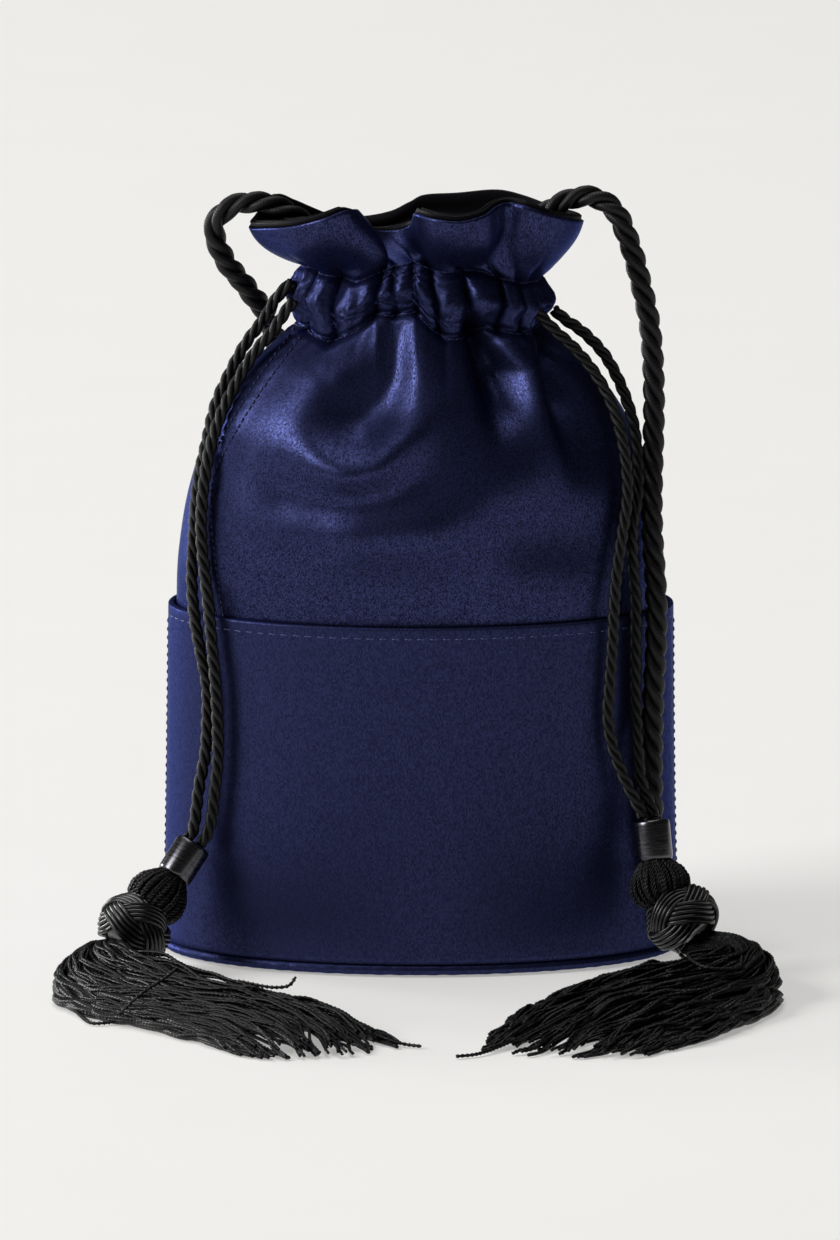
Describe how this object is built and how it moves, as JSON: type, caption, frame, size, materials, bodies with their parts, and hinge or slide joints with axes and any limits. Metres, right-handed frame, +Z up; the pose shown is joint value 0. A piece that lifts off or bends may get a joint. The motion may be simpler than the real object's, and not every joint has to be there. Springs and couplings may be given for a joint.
{
  "type": "drawstring bucket bag",
  "caption": "Soft satin drawstring pouch on a stiff oval bucket base, gathered to a frilled neck, with a twisted cord handle and thin drawcords that end in long thread tassels.",
  "frame": {"origin": "middle of the floor panel, on the surface that the bag stands on", "axes": "+Z up, +X along the wide side of the oval base, to the right seen from the front, -Y to the front, where the tassels lie"},
  "size_m": [0.2436, 0.2196, 0.2595],
  "materials": {
    "satin_bucket": "tight satin weave over board, low sheen",
    "satin_pouch": "soft satin weave, bright sheen on the folds",
    "lining_cloth": "matt black lining cloth",
    "cord_thread": "twisted black rayon cord",
    "ferrule_metal": "satin black metal",
    "tassel_thread": "fine twisted black rayon strands",
    "knot_cord": "smooth black satin cord"
  },
  "bodies": {
    "root": {"bucket_wall": "satin_bucket", "bucket_floor": "satin_bucket", "bucket_piping": "satin_bucket", "pouch": "satin_pouch", "lining": "lining_cloth", "drawcord_left_outer": "cord_thread", "drawcord_left_inner": "cord_thread", "drawcord_right_outer": "cord_thread", "drawcord_right_inner": "cord_thread", "handle": "cord_thread", "ferrule_left": "ferrule_metal", "ferrule_right": "ferrule_metal", "tassel_head_left": "tassel_thread", "tassel_head_right": "tassel_thread", "tassel_knot_left": "knot_cord", "tassel_knot_right": "knot_cord", "tassel_skirt_left": "tassel_thread", "tassel_skirt_right": "tassel_thread"}
  },
  "joints": []
}
